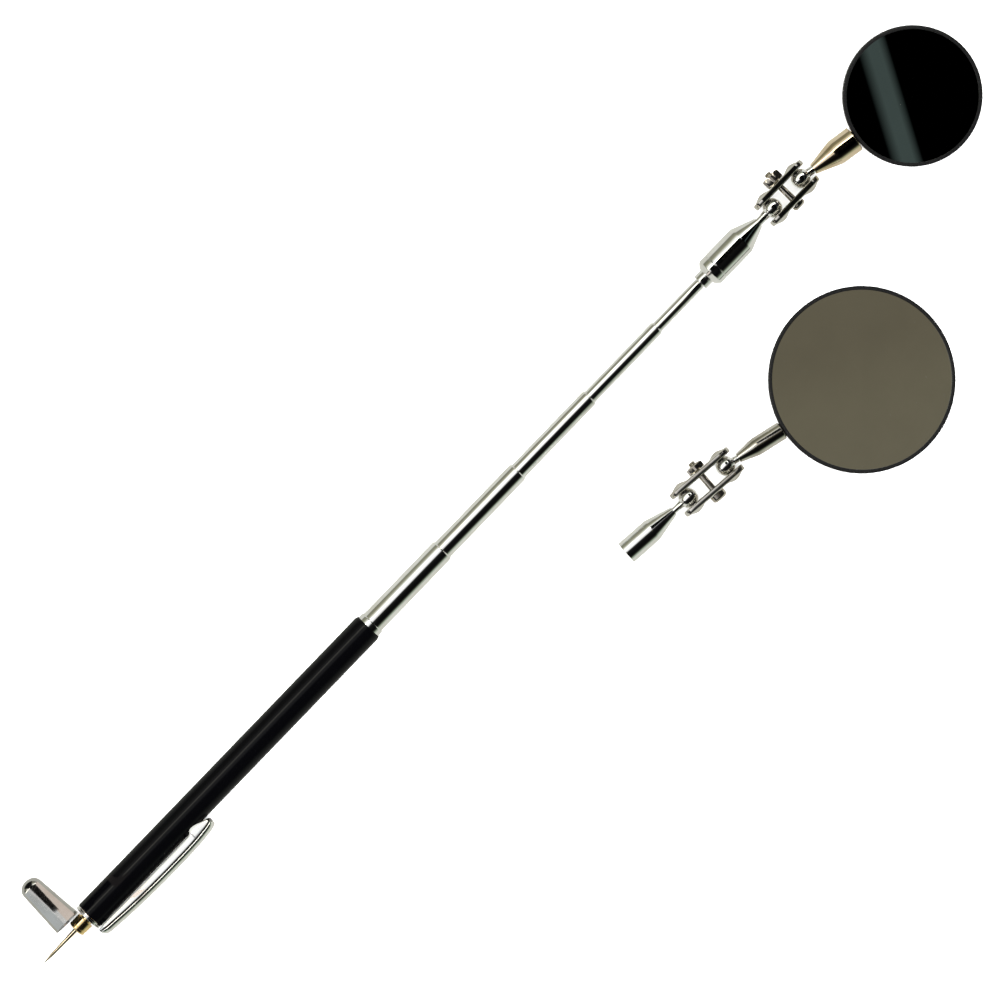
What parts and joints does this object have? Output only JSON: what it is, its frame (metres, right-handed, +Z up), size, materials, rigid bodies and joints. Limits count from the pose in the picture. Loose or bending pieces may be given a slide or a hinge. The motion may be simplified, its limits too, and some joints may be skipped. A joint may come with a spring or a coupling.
{
  "type": "magnetic pickup tool",
  "caption": "Pen-type telescoping pickup magnet with pocket clip and capped scriber; a small mirror head on ball joints sits on the magnet, a larger spare one lies beside it.",
  "frame": {"origin": "on the surface the tool lies on, under the middle of the bounding box of the tool, the loose cap and the spare head", "axes": "+X along the mast from the scriber to the mirrors, +Y to the side where the cap lies, +Z up from the surface"},
  "size_m": [0.3458, 0.0926, 0.0082],
  "materials": {
    "black_lacquer": "gloss black lacquer on a brass tube",
    "chrome": "bright chrome plating",
    "brass": "bright turned brass",
    "warm_chrome": "bright plating with a warm tint",
    "steel": "plain bright steel",
    "magnet": "ground dark grey magnet",
    "black_rim": "black enamelled pressed steel",
    "mirror": "silvered glass"
  },
  "bodies": {
    "handle": {"barrel": "black_lacquer", "front_ferrule": "chrome", "rear_plug": "brass", "clip_ring": "chrome", "scriber_collet": "brass", "scriber_needle": "steel"},
    "clip": {"pocket_clip": "chrome"},
    "cap": {"scriber_cap": "chrome"},
    "mast_1": {"mast_tube_1": "chrome", "tube_bush_1": "brass"},
    "mast_2": {"mast_tube_2": "chrome", "tube_bush_2": "brass"},
    "mast_3": {"mast_tube_3": "chrome", "tube_bush_3": "brass"},
    "mast_4": {"mast_tube_4": "chrome", "tube_bush_4": "brass"},
    "mast_5": {"mast_tube_5": "chrome", "tube_bush_5": "brass", "tip_collar": "chrome", "magnet_cup": "chrome", "pickup_magnet": "magnet"},
    "small_head_socket": {"small_socket": "chrome"},
    "small_lower_swivel": {"small_lower_ball": "chrome"},
    "small_clamp": {"small_clamp_plate_left": "chrome", "small_clamp_plate_right": "chrome", "small_clamp_screw": "steel", "small_clamp_nut": "steel"},
    "small_upper_swivel": {"small_upper_ball": "chrome"},
    "small_mirror": {"small_mirror_stem": "warm_chrome", "small_mirror_cup": "black_rim", "small_mirror_glass": "mirror"},
    "large_head_socket": {"large_socket": "chrome"},
    "large_lower_swivel": {"large_lower_ball": "chrome"},
    "large_clamp": {"large_clamp_plate_left": "chrome", "large_clamp_plate_right": "chrome", "large_clamp_screw": "steel", "large_clamp_nut": "steel"},
    "large_upper_swivel": {"large_upper_ball": "chrome"},
    "large_mirror": {"large_mirror_stem": "steel", "large_mirror_cup": "black_rim", "large_mirror_glass": "mirror"}
  },
  "joints": [
    {"name": "mast_1_slide", "type": "slide", "parent": "handle", "child": "mast_1", "axis": [1, 0, 0], "range_m": [-0.0245, 0.06]},
    {"name": "mast_2_slide", "type": "slide", "parent": "mast_1", "child": "mast_2", "axis": [1, 0, 0], "range_m": [-0.0275, 0.056]},
    {"name": "mast_3_slide", "type": "slide", "parent": "mast_2", "child": "mast_3", "axis": [1, 0, 0], "range_m": [-0.0255, 0.055]},
    {"name": "mast_4_slide", "type": "slide", "parent": "mast_3", "child": "mast_4", "axis": [1, 0, 0], "range_m": [-0.0238, 0.055]},
    {"name": "mast_5_slide", "type": "slide", "parent": "mast_4", "child": "mast_5", "axis": [1, 0, 0], "range_m": [-0.0158, 0.058]},
    {"name": "clip_flex", "type": "hinge", "parent": "handle", "child": "clip", "pos_m": [-0.1552, 0.02347, 0.0041], "axis": [0, 0, -1], "range_deg": [0, 4], "stiffness_Nm_per_rad": 2},
    {"name": "cap_slide", "type": "slide", "parent": "handle", "child": "cap", "axis": [0, 1, 0], "range_m": [0, 0.03]},
    {"name": "small_head_pull", "type": "slide", "parent": "mast_5", "child": "small_head_socket", "axis": [1, 0, 0], "range_m": [0, 0.015]},
    {"name": "small_lower_twist", "type": "hinge", "parent": "small_head_socket", "child": "small_lower_swivel", "pos_m": [0.1068, 0.02767, 0.0041], "axis": [1, 0, 0], "continuous": true},
    {"name": "small_lower_swing", "type": "hinge", "parent": "small_lower_swivel", "child": "small_clamp", "pos_m": [0.1068, 0.02767, 0.0041], "axis": [0, -1, 0], "range_deg": [-90, 90]},
    {"name": "small_upper_swing", "type": "hinge", "parent": "small_clamp", "child": "small_upper_swivel", "pos_m": [0.1176, 0.02767, 0.0041], "axis": [0, 1, 0], "range_deg": [-90, 90]},
    {"name": "small_mirror_twist", "type": "hinge", "parent": "small_upper_swivel", "child": "small_mirror", "pos_m": [0.1176, 0.02767, 0.0041], "axis": [0.9863, -0.165, 0], "continuous": true},
    {"name": "large_head_slide", "type": "slide", "parent": "handle", "child": "large_head_socket", "axis": [0, -1, 0], "range_m": [0, 0.05]},
    {"name": "large_lower_twist", "type": "hinge", "parent": "large_head_socket", "child": "large_lower_swivel", "pos_m": [0.03573, -0.00982, 0.0033], "axis": [0.9969, -0.0785, 0], "continuous": true},
    {"name": "large_lower_swing", "type": "hinge", "parent": "large_lower_swivel", "child": "large_clamp", "pos_m": [0.03573, -0.00982, 0.0033], "axis": [0.0941, 0.9956, 0], "range_deg": [-90, 90]},
    {"name": "large_upper_swing", "type": "hinge", "parent": "large_clamp", "child": "large_upper_swivel", "pos_m": [0.04868, -0.01105, 0.0033], "axis": [-0.0941, -0.9956, 0], "range_deg": [-90, 90]},
    {"name": "large_mirror_twist", "type": "hinge", "parent": "large_upper_swivel", "child": "large_mirror", "pos_m": [0.04868, -0.01105, 0.0033], "axis": [0.9712, -0.2367, -0.0279], "continuous": true}
  ]
}
